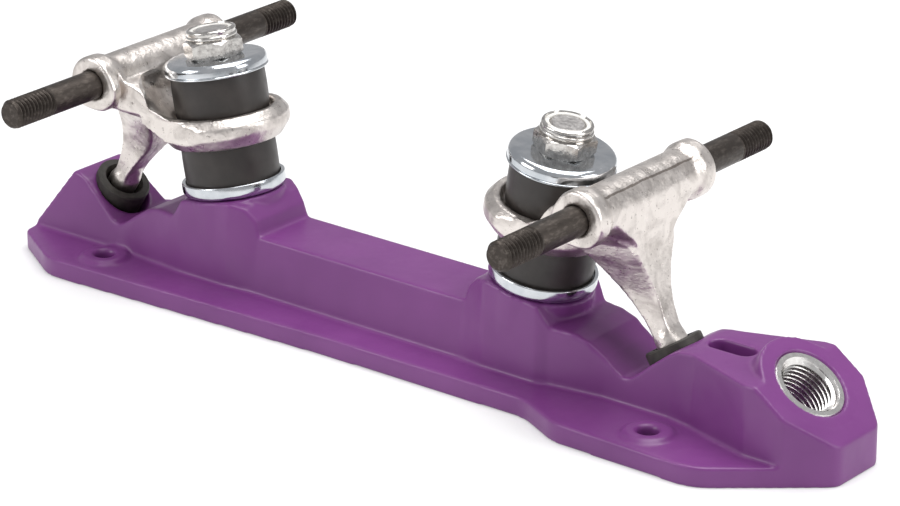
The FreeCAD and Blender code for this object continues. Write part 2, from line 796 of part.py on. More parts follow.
def build_kingpin_nut(name, side):
    """Lock nut: a chamfered hexagon with a round collar that holds the nylon ring."""
    body = new_body(f"{name}_kingpin_nut")
    hexagon_sketch = new_sketch(body, "hexagon_outline", "XY_Plane", lift=NUT_FOOT)
    hexagon(hexagon_sketch, s.nut_flats)
    feature(body, "Pad", "hexagon", hexagon_sketch, Length=s.nut_hex_height)
    shoulder = NUT_FOOT + s.nut_hex_height
    corner = s.nut_flats / math.sqrt(3)
    reach = s.nut_flats / 2
    wide = corner + PAST
    upper = [(reach, shoulder + PAST), (reach, shoulder), (corner, shoulder - s.nut_chamfer),
             (wide, shoulder - s.nut_chamfer), (wide, shoulder + PAST)]
    turned_cut(body, "top_chamfer", upper)
    lower = [(reach, NUT_FOOT - PAST), (reach, NUT_FOOT), (corner, NUT_FOOT + s.nut_chamfer),
             (wide, NUT_FOOT + s.nut_chamfer), (wide, NUT_FOOT - PAST)]
    turned_cut(body, "foot_chamfer", lower)
    lip = s.nut_collar_lip
    collar = [(0, shoulder), (s.nut_collar_radius, shoulder), (s.nut_collar_radius, NUT_TOP - lip),
              (s.nut_collar_radius - lip, NUT_TOP), (0, NUT_TOP)]
    turned(body, "Revolution", "collar", collar)
    bore = s.kingpin_radius + s.nut_thread_gap
    ring_foot = NUT_TOP - lip - s.lock_ring_height
    hollow = [(0, NUT_FOOT - PAST), (bore, NUT_FOOT - PAST), (bore, ring_foot),
              (s.lock_ring_radius, ring_foot), (s.lock_ring_radius, NUT_TOP - lip),
              (s.lock_ring_radius - lip, NUT_TOP + PAST), (0, NUT_TOP + PAST)]
    turned_cut(body, "bore", hollow)
    place(body, side * KINGPIN_X, s.boss_height, side * s.kingpin_tilt)
    return body


def build_nut_lock_ring(name, side):
    body = new_body(f"{name}_nut_lock_ring")
    bore = s.kingpin_radius + s.nut_thread_gap
    top = NUT_TOP - s.nut_collar_lip
    foot = top - s.lock_ring_height
    profile = [(bore, foot), (s.lock_ring_radius, foot), (s.lock_ring_radius, top), (bore, top)]
    turned(body, "Revolution", "ring", profile)
    place(body, side * KINGPIN_X, s.boss_height, side * s.kingpin_tilt)
    return body


def build_pivot_cup(name, side):
    """Rubber cup pressed into the plate; its bore ends in a hollow for the pin's ball."""
    body = new_body(f"{name}_pivot_cup")
    inner = s.ball_radius + s.ball_gap
    mouth = inner + s.cup_mouth_flare
    wall = [(0, -s.cup_depth), (s.cup_radius, -s.cup_depth), (s.cup_radius, s.cup_lip / 2),
            (s.cup_radius - s.cup_lip / 2, s.cup_lip), (0, s.cup_lip)]
    turned(body, "Revolution", "wall", wall)
    turned_cut(body, "bore", [(0, s.cup_lip + PAST), (mouth, s.cup_lip + PAST), (mouth, s.cup_lip),
                              (inner, -s.cup_mouth_flare), (inner, -s.ball_depth), (0, -s.ball_depth)])
    ball_hollow(body, inner)
    place(body, side * PIVOT_X, s.pivot_height, -side * s.pivot_tilt)
    return body


def ball_hollow(body, radius):
    """Round floor of the cup, centred on the pin's ball."""
    sketch = half_disc(body, "ball_hollow_outline", -s.ball_depth, radius)
    cut(body, "Groove", "ball_hollow", sketch, ReferenceAxis=(sketch, ["V_Axis"]), Angle=360.0)


def half_disc(body, name, y, radius, at=(0, 0), turn=0):
    """A half disc beside the sketch's vertical axis, to be turned into a ball."""
    sketch = new_sketch(body, name, at=at, turn=turn)
    centre = VECTOR(0, y.value, 0)
    quarter = math.pi / 2
    arc = Part.ArcOfCircle(Part.Circle(centre, VECTOR(0, 0, 1), radius.value), -quarter, quarter)
    curve = sketch.addGeometry(arc, False)
    high = VECTOR(0, y.value + radius.value, 0)
    low = VECTOR(0, y.value - radius.value, 0)
    chord = sketch.addGeometry(Part.LineSegment(high, low), False)
    sketch.addConstraint(Sketcher.Constraint("Coincident", curve, 2, chord, 1))
    sketch.addConstraint(Sketcher.Constraint("Coincident", chord, 2, curve, 1))
    for edge, end in ((curve, 3), (chord, 1), (chord, 2)):
        hold_on_axis(sketch, "DistanceX", edge, end)
    hold_distance(sketch, "DistanceY", curve, 3, y)
    index = sketch.addConstraint(Sketcher.Constraint("Radius", curve, radius.value))
    bind(sketch, f"Constraints[{index}]", radius)
    return sketch


# Truck: the cast hanger and its axle, modelled as the front one

def hanger_ring(body):
    """Solid of the ring that holds the cushions; its seats are cut last."""
    profile = [
        (0, RING_FOOT),
        (s.ring_foot_radius, RING_FOOT),
        (s.ring_radius, RING_FOOT + s.ring_foot_bevel),
        (s.ring_radius, RING_TOP - s.ring_bevel),
        (s.ring_top_radius, RING_TOP),
        (0, RING_TOP),
    ]
    turned(body, "Revolution", "ring", profile, at=(KINGPIN_X, s.boss_height), turn=-s.kingpin_tilt)


def hanger_barrel(body):
    """The tube that carries the axle, with a collar at each end."""
    end = s.barrel_half
    collar = end - s.collar_length
    blend = collar - s.collar_blend
    half = [(s.barrel_radius, blend), (s.collar_radius, collar), (s.collar_radius, end - s.collar_chamfer),
            (s.collar_radius - s.collar_chamfer, end)]
    lower = [(r, -y) for r, y in reversed(half)]
    profile = [(0, -end)] + lower + half + [(0, end)]
    turned(body, "Revolution", "barrel", profile, role="XY_Plane", at=(AXLE_X, 0), lift=s.axle_height)


def hanger_arms(body):
    """Wedge from the ring up to the barrel; the bore for the cushions leaves two arms and a back."""
    lean = s.kingpin_tilt
    reach = s.kingpin_setback * cosine(lean) - (s.axle_height - s.boss_height) * sine(lean)
    rise = s.kingpin_setback * sine(lean) + (s.axle_height - s.boss_height) * cosine(lean)
    profile = [
        (0, RING_FOOT + s.ring_bevel),
        (s.arm_knee_run, RING_FOOT + s.arm_knee_rise),
        (s.arm_belly_run, rise - s.arm_belly_drop),
        (reach, rise - s.arm_root_drop),
        (reach, rise),
        (s.arm_crest_run, rise + s.arm_crest_rise),
        (s.arm_brow_run, rise + s.arm_brow_rise),
        (s.arm_lip_run, RING_TOP + s.arm_lip_rise),
        (0, RING_TOP),
    ]
    sketch = new_sketch(body, "arms_profile", at=(KINGPIN_X, s.boss_height), turn=-lean)
    outline(sketch, profile)
    feature(body, "Pad", "arms", sketch, SideType="Symmetric", Length=2 * s.arm_half)
    trim_x = KINGPIN_X + reach
    side_cut = new_sketch(body, "arm_sides", "XY_Plane", lift=s.axle_height + 2 * s.barrel_radius)
    for side in (1, -1):
        outline(side_cut, [
            (KINGPIN_X - s.arm_half, side * s.arm_ring_half),
            (KINGPIN_X + s.boss_inner_run, side * s.arm_ring_half),
            (trim_x, side * s.arm_half),
            (trim_x, side * (s.arm_half + PAST)),
            (KINGPIN_X - s.arm_half, side * (s.arm_half + PAST)),
        ])
    cut(body, "Pocket", "arm_side_cut", side_cut, Length=2 * s.axle_height)


def hanger_leg(body):
    """The leg from the pivot up to the barrel, a loft that flares into a web."""
    lean = s.leg_tilt
    sections = []
    foot_half = s.leg_foot_width / 2
    spread = s.leg_top_half - foot_half
    stations = (
        # share of the length, share of the flare, toe side and kingpin side offsets
        (0.0, 0.0, 0.45, 0.50),
        (0.27, 0.04, 0.57, 0.56),
        (0.54, 0.16, 0.75, 0.84),
        (0.77, 0.45, 0.90, 1.15),
        (1.0, 1.0, 1.04, 1.42),
    )
    for index, (share, flare, toe_side, kingpin_side) in enumerate(stations):
        along = s.leg_start + s.leg_length * share
        x = PIVOT_X - along * sine(lean)
        z = s.pivot_height + along * cosine(lean)
        half = foot_half + spread * flare
        back_half = half * (1.3 - 0.45 * share)
        sketch = new_sketch(body, f"leg_section_{index}", "XY_Plane", at=(x, 0), lift=z,
                            turn=-lean, axis=(0, 1, 0))
        front = s.leg_foot_depth * toe_side
        back = -s.leg_foot_depth * kingpin_side
        outline(sketch, [(front, half), (front, -half), (back, -back_half), (back, back_half)])
        sections.append(sketch)
    feature(body, "AdditiveLoft", "leg", sections[0], Sections=sections[1:], Ruled=False)


def hanger_pin(body):
    """Pivot pin with its ball tip."""
    at = (PIVOT_X, s.pivot_height)
    pin = [(0, -s.ball_depth), (s.pin_radius, -s.ball_depth), (s.pin_radius, s.pin_rise - s.pin_shoulder),
           (s.pin_radius - s.pin_neck, s.pin_rise), (0, s.pin_rise)]
    turned(body, "Revolution", "pin", pin, at=at, turn=s.pivot_tilt)
    ball = half_disc(body, "ball_outline", -s.ball_depth, s.ball_radius, at=at, turn=s.pivot_tilt)
    feature(body, "Revolution", "ball", ball, ReferenceAxis=(ball, ["V_Axis"]), Angle=360.0)


def hanger_seats(body):
    """Seats for both cushions, the hub hole, and room for the upper retainer."""
    at = (KINGPIN_X, s.boss_height)
    narrow = s.cushion_radius + s.ring_seat_gap
    wide = narrow + s.ring_seat_draft
    room = RETAINER_RADIUS + s.arm_clearance
    skirt = NUT_FOOT - s.upper_skirt_depth
    above = NUT_TOP + s.barrel_radius
    bore = [
        (0, RING_FOOT - PAST), (narrow, RING_FOOT - PAST), (narrow, WEB_FOOT), (s.hub_hole_radius, WEB_FOOT),
        (s.hub_hole_radius, WEB_TOP), (narrow, WEB_TOP), (wide, RING_TOP), (room, skirt - PAST),
        (room, above), (0, above),
    ]
    turned_cut(body, "seats", bore, at=at, turn=-s.kingpin_tilt)


def hanger_axle_bore(body):
    sketch = new_sketch(body, "axle_bore_outline", "XZ_Plane")
    circle(sketch, AXLE_X, s.axle_height, s.axle_seat_radius + s.axle_fit)
    cut(body, "Pocket", "axle_bore", sketch, SideType="Symmetric", Length=2 * (s.barrel_half + PAST))


def face_about(body, side):
    """Leave the front truck as modelled, and turn the rear one about the plate's vertical."""
    angle = 0 if side > 0 else 180
    body.Placement = FreeCAD.Placement(VECTOR(0, 0, 0), FreeCAD.Rotation(VECTOR(0, 0, 1), angle))


def build_hanger(name, side):
    body = new_body(f"{name}_hanger")
    hanger_ring(body)
    hanger_barrel(body)
    hanger_arms(body)
    hanger_leg(body)
    hanger_pin(body)
    hanger_seats(body)
    hanger_axle_bore(body)
    face_about(body, side)
    return body


def build_axle(name, side):
    """Steel axle: two wheel ends beyond a thicker middle that is pressed into the barrel."""
    body = new_body(f"{name}_axle")
    end = s.axle_length / 2
    seat_end = s.barrel_half
    half = [(s.axle_seat_radius, seat_end), (s.axle_radius, seat_end), (s.axle_radius, end - s.axle_chamfer),
            (s.axle_radius - s.axle_chamfer, end)]
    lower = [(r, -y) for r, y in reversed(half)]
    profile = [(0, -end)] + lower + half + [(0, end)]
    turned(body, "Revolution", "axle", profile, role="XY_Plane", at=(AXLE_X, 0), lift=s.axle_height)
    face_about(body, side)
    return body


def build_truck(name, side):
    lower = (LOWER_CUSHION_FOOT, s.lower_cushion_height)
    upper = (UPPER_CUSHION_FOOT, s.upper_cushion_height)
    return [
        build_kingpin(name, side),
        build_lower_retainer(name, side),
        build_cushion(name, side, "lower", *lower),
        build_cushion(name, side, "upper", *upper),
        build_upper_retainer(name, side),
        build_kingpin_nut(name, side),
        build_nut_lock_ring(name, side),
        build_pivot_cup(name, side),
        build_hanger(name, side),
        build_axle(name, side),
    ]


def check_document(pieces):
    """Stop before anything is written if an object or a piece's solid is unsound."""
    for item in DOC.Objects:
        if "Invalid" in item.State or "Error" in item.State:
            raise RuntimeError(f"{item.Label} did not compute: {item.State}")
    for piece in pieces:
        shape = piece.Shape
        if shape.isNull() or not shape.isValid() or not shape.Solids:
            raise RuntimeError(f"{piece.Label} has no sound solid")


def write_pieces(pieces):
    os.makedirs("parts", exist_ok=True)
    for piece in pieces:
        piece.Shape.exportStep(os.path.join("parts", piece.Label + ".step"))


def main():
    pieces = [build_plate(), build_toe_stop_insert()]
    for name, side in (("front", 1), ("rear", -1)):
        pieces += build_truck(name, side)
    DOC.recompute()
    check_document(pieces)
    write_pieces(pieces)


main()
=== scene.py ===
import json
import math

import bmesh
import bpy
from mathutils import Matrix, Vector


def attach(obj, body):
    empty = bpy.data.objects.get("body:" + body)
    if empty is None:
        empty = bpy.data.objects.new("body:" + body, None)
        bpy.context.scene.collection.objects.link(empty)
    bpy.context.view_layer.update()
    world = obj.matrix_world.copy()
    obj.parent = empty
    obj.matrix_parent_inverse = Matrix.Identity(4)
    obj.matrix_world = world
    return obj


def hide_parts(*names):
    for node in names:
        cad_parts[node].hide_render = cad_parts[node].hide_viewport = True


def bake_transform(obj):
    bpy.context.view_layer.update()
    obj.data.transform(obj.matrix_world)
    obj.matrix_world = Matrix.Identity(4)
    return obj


# A quad roller skate plate with two cast trucks, lying on its sole face.
# Lengths are in metres, and in millimetres in the tables of the moulded and cast lines.
# The row's record gives the places that the looks are built on.

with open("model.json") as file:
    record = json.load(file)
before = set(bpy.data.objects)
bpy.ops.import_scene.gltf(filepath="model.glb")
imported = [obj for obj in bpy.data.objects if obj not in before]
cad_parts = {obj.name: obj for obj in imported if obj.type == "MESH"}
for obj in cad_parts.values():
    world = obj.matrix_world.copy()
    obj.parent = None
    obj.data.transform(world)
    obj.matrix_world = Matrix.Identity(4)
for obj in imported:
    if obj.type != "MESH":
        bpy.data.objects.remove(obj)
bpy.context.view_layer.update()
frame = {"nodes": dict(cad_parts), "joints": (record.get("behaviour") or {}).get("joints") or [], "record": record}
RECORD = frame["record"]
JOINTS = {joint["name"]: joint for joint in frame["joints"]}
MOUNTS = {mount["name"]: mount for mount in RECORD["mounts"]}
MM = 0.001
ENDS = ("front", "rear")
MERGE = 0.001 * MM  # points closer than this are one


# Shader values and finishes

class Value:
    """An output socket that takes part in Python sums."""

    def __init__(self, finish, socket):
        self.finish = finish
        self.socket = socket

    def math(self, operation, *terms):
        return self.finish.node("ShaderNodeMath", {"operation": operation}, dict(enumerate(terms)))

    def __add__(self, other):
        return self.math("ADD", self, other)

    __radd__ = __add__

    def __sub__(self, other):
        return self.math("SUBTRACT", self, other)

    def __rsub__(self, other):
        return self.math("SUBTRACT", other, self)

    def __mul__(self, other):
        return self.math("MULTIPLY", self, other)

    __rmul__ = __mul__

    def size(self):
        return self.math("ABSOLUTE", self)

    def below(self, limit):
        """1 where the value is under the limit, else 0."""
        return self.math("LESS_THAN", self, limit)


class Finish:
    """A new material around one principled shader."""

    def __init__(self, name, **constants):
        self.material = bpy.data.materials.new(name)
        self.material.use_nodes = True
        self.tree = self.material.node_tree
        self.tree.nodes.clear()
        self.output = self.tree.nodes.new("ShaderNodeOutputMaterial")
        self.shader = self.tree.nodes.new("ShaderNodeBsdfPrincipled")
        self.tree.links.new(self.shader.outputs[0], self.output.inputs["Surface"])
        for key, value in constants.items():
            self.feed(self.shader.inputs[key.replace("_", " ").title().replace("Ior", "IOR")], value)

    def feed(self, socket, value):
        if isinstance(value, Value):
            self.tree.links.new(value.socket, socket)
        else:
            socket.default_value = value

    def node(self, kind, settings=None, inputs=None, output=0):
        node = self.tree.nodes.new(kind)
        for key, value in (settings or {}).items():
            if key == "stops":
                while len(node.color_ramp.elements) < len(value):
                    node.color_ramp.elements.new(1.0)
                for element, (place, tone) in zip(node.color_ramp.elements, value):
                    element.position = place
                    element.color = tone if isinstance(tone, tuple) else shade(tone, tone, tone)
            else:
                setattr(node, key, value)
        for key, value in (inputs or {}).items():
            self.feed(node.inputs[key], value)
        return Value(self, node.outputs[output])

    def places(self, stretch=(1, 1, 1)):
        """Object coordinates, stretched where a pattern needs it."""
        coordinates = self.node("ShaderNodeTexCoord", output=3)
        return self.node("ShaderNodeMapping", inputs={"Vector": coordinates, "Scale": stretch})

    def part_of(self, vector, axis):
        return self.node("ShaderNodeSeparateXYZ", inputs={"Vector": vector}, output="XYZ".index(axis))

    def noise(self, grain, detail=3.0, roughness=0.55, where=None, distortion=0.0):
        """Cloudy values from 0 to 1, with lumps about one grain across."""
        inputs = {"Vector": where or self.places(), "Scale": 1 / grain, "Detail": detail,
                  "Roughness": roughness, "Distortion": distortion}
        return self.node("ShaderNodeTexNoise", inputs=inputs)

    def ramp(self, value, *stops):
        return self.node("ShaderNodeValToRGB", {"stops": stops}, {0: value})

    def clouds(self, grain, detail, low, high):
        """A ramp over plain noise, from one stop to another."""
        return self.ramp(self.noise(grain, detail), low, high)

    def blend(self, factor, first, second):
        return self.node("ShaderNodeMix", {"data_type": "RGBA"}, {0: factor, 6: first, 7: second}, output=2)

    def bump(self, height, depth, strength, under=None):
        inputs = {"Height": height, "Distance": depth, "Strength": strength}
        if under:
            inputs["Normal"] = under
        return self.node("ShaderNodeBump", inputs=inputs)

    def paint(self, **links):
        for key, value in links.items():
            self.feed(self.shader.inputs[key.replace("_", " ").title()], value)
        return self.material


def shade(red, green, blue):
    return (red, green, blue, 1.0)


DARK_STOP = 0.35
LIGHT_STOP = 0.65


def moulded_nylon():
    """Purple glass-filled nylon with a faint flow mottle and a satin skin."""
    finish = Finish("moulded_nylon", ior=1.5, specular_ior_level=0.45)
    dark, light = shade(0.140, 0.030, 0.158), shade(0.172, 0.040, 0.190)
    colour = finish.clouds(28 * MM, 3.0, (0.30, dark), (0.70, light))
    skin = finish.noise(0.35 * MM, 2.0)
    waves = finish.noise(9 * MM, 2.0)
    grain = finish.bump(skin, 0.012 * MM, 0.5)
    normal = finish.bump(waves, 0.30 * MM, 0.35, grain)
    roughness = finish.clouds(6 * MM, 4.0, (0.3, 0.30), (0.7, 0.42))
    return finish.paint(base_color=colour, roughness=roughness, normal=normal)


def parting_seam(finish):
    """1 on the slightly wavy parting line that the mould left along the barrel, and 0 elsewhere."""
    line_run, line_rise = 85.8 * MM, 63.2 * MM
    half_width, depth, half_length = 0.32 * MM, 2.2 * MM, 19 * MM
    slope_run, slope_rise = 0.80, 0.60
    place = finish.places()
    run = finish.part_of(place, "X").size() - line_run
    rise = finish.part_of(place, "Z") - line_rise
    wander = finish.noise(5 * MM, 3.0) * (1.2 * MM) - 0.6 * MM
    off_line = (run * slope_run - rise * slope_rise + wander).size()
    off_skin = (run * slope_rise + rise * slope_run).size()
    off_middle = finish.part_of(place, "Y").size()
    return off_line.below(half_width) * off_skin.below(depth) * off_middle.below(half_length)


def tumbled_alloy():
    """Sand-cast alloy, tumbled bright, with pits, smears and a dark parting line left in the skin."""
    finish = Finish("tumbled_alloy", metallic=1.0)
    specks = finish.ramp(finish.noise(0.9 * MM, 5.0, 0.62), (0.31, 0.0), (0.38, 1.0))
    smears = finish.ramp(finish.noise(7 * MM, 5.0, 0.6, distortion=0.8), (0.33, 0.0), (0.56, 1.0))
    light, dull = shade(0.74, 0.69, 0.65), shade(0.50, 0.46, 0.43)
    pit, line = shade(0.26, 0.23, 0.21), shade(0.16, 0.13, 0.11)
    skin = finish.blend(specks, pit, finish.blend(smears, dull, light))
    colour = finish.blend(parting_seam(finish) * 0.75, skin, line)
    ripples = finish.noise(3.2 * MM, 3.0, 0.6)
    grain = finish.noise(0.5 * MM, 4.0, 0.6)
    coarse = finish.bump(ripples, 0.34 * MM, 0.8)
    normal = finish.bump(grain, 0.055 * MM, 0.8, coarse)
    roughness = finish.clouds(3 * MM, 4.0, (0.3, 0.26), (0.7, 0.42))
    return finish.paint(base_color=colour, roughness=roughness, normal=normal)


def bright_zinc():
    """Clear blue zinc plating on pressed steel."""
    finish = Finish("bright_zinc", metallic=1.0)
    dark, light = shade(0.50, 0.53, 0.56), shade(0.64, 0.66, 0.68)
    colour = finish.clouds(5 * MM, 3.0, (DARK_STOP, dark), (LIGHT_STOP, light))
    roughness = finish.clouds(1.6 * MM, 4.0, (0.35, 0.10), (0.7, 0.20))
    normal = finish.bump(finish.noise(1.2 * MM, 3.0), 0.02 * MM, 0.6)
    return finish.paint(base_color=colour, roughness=roughness, normal=normal)


def nut_zinc():
    """Bright plating on a forged nut, with small dents."""
    finish = Finish("nut_zinc", metallic=1.0)
    dark, light = shade(0.44, 0.42, 0.40), shade(0.66, 0.64, 0.61)
    colour = finish.clouds(1.5 * MM, 4.0, (DARK_STOP, dark), (0.6, light))
    roughness = finish.clouds(0.9 * MM, 4.0, (0.35, 0.14), (0.7, 0.28))
    dents = finish.bump(finish.noise(1.4 * MM, 2.0), 0.12 * MM, 0.7)
    return finish.paint(base_color=colour, roughness=roughness, normal=dents)


def kingpin_end():
    """Plated steel of the kingpin, duller than the nut round it."""
    finish = Finish("kingpin_end", metallic=1.0)
    dark, light = shade(0.42, 0.40, 0.39), shade(0.62, 0.60, 0.58)
    colour = finish.clouds(0.9 * MM, 4.0, (DARK_STOP, dark), (LIGHT_STOP, light))
    roughness = finish.clouds(1.1 * MM, 3.0, (0.35, 0.32), (0.7, 0.48))
    normal = finish.bump(finish.noise(0.5 * MM, 3.0), 0.03 * MM, 0.6)
    return finish.paint(base_color=colour, roughness=roughness, normal=normal)


def ring_nylon():
    """Milky nylon of the locking ring."""
    finish = Finish("ring_nylon", ior=1.5)
    dark, light = shade(0.60, 0.58, 0.55), shade(0.72, 0.71, 0.68)
    colour = finish.clouds(1.2 * MM, 3.0, (DARK_STOP, dark), (LIGHT_STOP, light))
    normal = finish.bump(finish.noise(0.5 * MM), 0.02 * MM, 0.6)
    return finish.paint(base_color=colour, roughness=0.42, normal=normal)


def dark_oxide():
    """Heat-treated axle steel, brown black, rubbed brighter in scuffs along it."""
    finish = Finish("dark_oxide", metallic=0.85)
    along = finish.places(stretch=(1.0, 0.35, 1.0))
    scuffs = finish.ramp(finish.noise(1.0 * MM, 4.0, 0.6, along), (0.50, 0.0), (0.72, 1.0))
    colour = finish.blend(scuffs, shade(0.055, 0.046, 0.040), shade(0.115, 0.098, 0.086))
    roughness = finish.clouds(1.1 * MM, 4.0, (0.3, 0.36), (0.7, 0.55))
    normal = finish.bump(finish.noise(0.5 * MM, 3.0, 0.6, along), 0.03 * MM, 0.7)
    return finish.paint(base_color=colour, roughness=roughness, normal=normal)


def machined_steel():
    """Bright machined steel of the toe stop insert."""
    finish = Finish("machined_steel", metallic=1.0)
    dark, light = shade(0.68, 0.66, 0.64), shade(0.78, 0.77, 0.75)
    colour = finish.clouds(1.6 * MM, 4.0, (DARK_STOP, dark), (LIGHT_STOP, light))
    roughness = finish.clouds(1.5 * MM, 4.0, (0.35, 0.20), (0.7, 0.30))
    normal = finish.bump(finish.noise(0.4 * MM, 3.0), 0.02 * MM, 0.6)
    return finish.paint(base_color=colour, roughness=roughness, normal=normal)


def black_urethane():
    """Cast urethane of the cushions, with a soft sheen and a few rubbed patches."""
    finish = Finish("black_urethane", ior=1.5, specular_ior_level=0.5)
    dark, light = shade(0.020, 0.016, 0.014), shade(0.031, 0.025, 0.022)
    colour = finish.clouds(6 * MM, 4.0, (DARK_STOP, dark), (0.70, light))
    roughness = finish.clouds(4 * MM, 4.0, (0.3, 0.36), (0.7, 0.50))
    normal = finish.bump(finish.noise(0.4 * MM, 3.0), 0.012 * MM, 0.6)
    return finish.paint(base_color=colour, roughness=roughness, normal=normal)


def cup_rubber():
    """Matt black rubber of the pivot cups."""
    finish = Finish("cup_rubber", ior=1.5, specular_ior_level=0.4)
    dark, light = shade(0.020, 0.018, 0.016), shade(0.045, 0.040, 0.034)
    colour = finish.clouds(2 * MM, 4.0, (0.3, dark), (0.7, light))
    normal = finish.bump(finish.noise(0.6 * MM, 4.0), 0.04 * MM, 0.7)
    return finish.paint(base_color=colour, roughness=0.55, normal=normal)


# Mesh helpers

ALL_SMOOTH = 180


def new_piece(name, bm, material, smooth_angle):
    """Turns a bmesh into a piece of the object with one finish."""
    bmesh.ops.recalc_face_normals(bm, faces=bm.faces)
    mesh = bpy.data.meshes.new(name)
    for face in bm.faces:
        face.smooth = True
    for edge in bm.edges:
        if len(edge.link_faces) == 2 and edge.calc_face_angle(0) > math.radians(smooth_angle):
            edge.smooth = False
    bm.to_mesh(mesh)
    bm.free()
    piece = bpy.data.objects.new(name, mesh)
    bpy.context.scene.collection.objects.link(piece)
    mesh.materials.append(material)
    return piece


def bmesh_of(mesh):
    bm = bmesh.new()
    bm.from_mesh(mesh)
    return bm


def into_mesh(bm, mesh):
    bm.to_mesh(mesh)
    bm.free()


def evaluated(mesh, kind, **settings):
    """The mesh that one modifier makes of another."""
    shape = bpy.data.objects.new("work", mesh)
    bpy.context.scene.collection.objects.link(shape)
    modifier = shape.modifiers.new("work", kind)
    for key, value in settings.items():
        setattr(modifier, key, value)
    bpy.context.view_layer.update()
    result = bpy.data.meshes.new_from_object(shape.evaluated_get(bpy.context.evaluated_depsgraph_get()))
    bpy.data.objects.remove(shape)
    return result


def softened(node, voxel, rounds, reshape, most):
    """A CAD node's shape in small even faces, brought to its cast form, rounded and thinned to a count."""
    mesh = bpy.data.meshes.new("work")
    bm = bmesh_of(frame["nodes"][node].data)
    bmesh.ops.remove_doubles(bm, verts=bm.verts, dist=2 * MERGE)
    into_mesh(bm, mesh)
    bm = bmesh_of(evaluated(mesh, "REMESH", mode="VOXEL", voxel_size=voxel))
    bm.normal_update()
    for vert in bm.verts:
        reshape(vert)
    for _ in range(rounds):
        bmesh.ops.smooth_vert(bm, verts=bm.verts, factor=0.5,
                              use_axis_x=True, use_axis_y=True, use_axis_z=True)
    triangles = 2 * len(bm.faces)
    into_mesh(bm, mesh)
    return bmesh_of(evaluated(mesh, "DECIMATE", ratio=min(1.0, most / triangles)))


def held(value):
    """The value, held between 0 and 1."""
    return max(0.0, min(1.0, value))


def level(table, place):
    """Value at a place along a table of straight runs, in millimetres."""
    for (start, first), (end, last) in zip(table, table[1:]):
        if place <= end:
            return first + (last - first) * held((place - start) / (end - start))
    return table[-1][1]


def lathe(profile, steps):
    """A closed profile of (radius, height) points, turned about Z."""
    bm = bmesh.new()
    verts = [bm.verts.new((radius, 0, height)) for radius, height in profile]
    edges = [bm.edges.new(pair) for pair in zip(verts, verts[1:] + verts[:1])]
    bmesh.ops.spin(bm, geom=verts + edges, cent=(0, 0, 0), axis=(0, 0, 1), dvec=(0, 0, 0),
                   angle=2 * math.pi, steps=steps, use_merge=True, use_duplicate=False)
    bmesh.ops.remove_doubles(bm, verts=bm.verts, dist=MERGE)
    return bm


def corner(radius, height, size, first, last, points):
    """Points of a round corner about a centre, from one angle to another, in degrees."""
    turns = [math.radians(first + (last - first) * index / (points - 1)) for index in range(points)]
    return [(radius + size * math.cos(turn), height + size * math.sin(turn)) for turn in turns]


def stand(bm, place, axis):
    """Moves a shape that was made about Z to its place, with its Z along an axis of the XZ plane."""
    axis = Vector(axis)
    turn = Matrix.Rotation(math.atan2(axis.x, axis.z), 4, "Y")
    bmesh.ops.transform(bm, matrix=Matrix.Translation(place) @ turn, verts=bm.verts)


def loop_edges(bm, height):
    """Open edges that lie at one height."""
    return [edge for edge in bm.edges if edge.is_boundary
            and all(abs(vert.co.z - height) < 10 * MERGE for vert in edge.verts)]


def thread(major, minor, pitch, low, high, limit, steps):
    """A helical V thread about Z from low to high, its radius held by limit(radius, height)."""
    bm = bmesh.new()
    rows = ((0.0, minor), (0.22, minor), (0.52, major), (0.68, major), (1.0, minor))  # shares of the pitch
    turns = math.ceil((high - low) / pitch) + 2
    verts = [bm.verts.new((radius, 0, low + (share - 1) * pitch)) for share, radius in rows]
    edges = [bm.edges.new(pair) for pair in zip(verts, verts[1:])]
    bmesh.ops.spin(bm, geom=verts + edges, cent=(0, 0, 0), axis=(0, 0, 1), dvec=(0, 0, pitch / steps),
                   angle=2 * math.pi * turns, steps=steps * turns, use_merge=False, use_duplicate=False)
    bmesh.ops.remove_doubles(bm, verts=bm.verts, dist=MERGE)
    for vert in bm.verts:
        radius = math.hypot(vert.co.x, vert.co.y)
        share = limit(radius, vert.co.z) / radius
        vert.co.x *= share
        vert.co.y *= share
    for height, way in ((high, 1), (low, -1)):
        bmesh.ops.bisect_plane(bm, geom=all_of(bm), plane_co=(0, 0, height), plane_no=(0, 0, way),
                               clear_outer=True)
    return bm


def all_of(bm):
    return bm.verts[:] + bm.edges[:] + bm.faces[:]


def extend_loop(bm, edges, radius, height):
    """Carries an open round loop on to a new radius and height and returns its new edges."""
    grown = bmesh.ops.extrude_edge_only(bm, edges=edges)["geom"]
    for vert in (item for item in grown if isinstance(item, bmesh.types.BMVert)):
        share = radius / math.hypot(vert.co.x, vert.co.y)
        vert.co = (vert.co.x * share, vert.co.y * share, height)
    return [item for item in grown if isinstance(item, bmesh.types.BMEdge) and item.is_boundary]


# The plate and its toe stop insert

# Height of the plate's valley beside each axle, by distance from mid wheelbase in millimetres:
# as it is in the solid, and as moulded.
VALLEY_SOLID = (
    (64.2, 21.1), (70.95, 21.1), (80.55, 11.5), (100.25, 23.95), (104.5, 23.95), (108.05, 24.5),
)
VALLEY_MOULDED = (
    (64.2, 21.1), (70.8, 20.9), (75.25, 19.6), (80.25, 16.4), (83.75, 13.8), (86.0, 12.6), (88.4, 12.9),
    (91.0, 14.9), (94.0, 17.6), (97.15, 20.1), (99.75, 22.2), (102.45, 23.6), (104.5, 23.9), (108.05, 24.5),
)
VALLEY_START, VALLEY_END = VALLEY_SOLID[0][0], VALLEY_SOLID[-1][0]
FLANGE_TOP = 7.5
PADS = ((102.4, 21.5), (-84.7, 18.7))
PAD_RADIUS, PAD_FACE, PAD_LIFT = 6.6, 5.8, 0.6


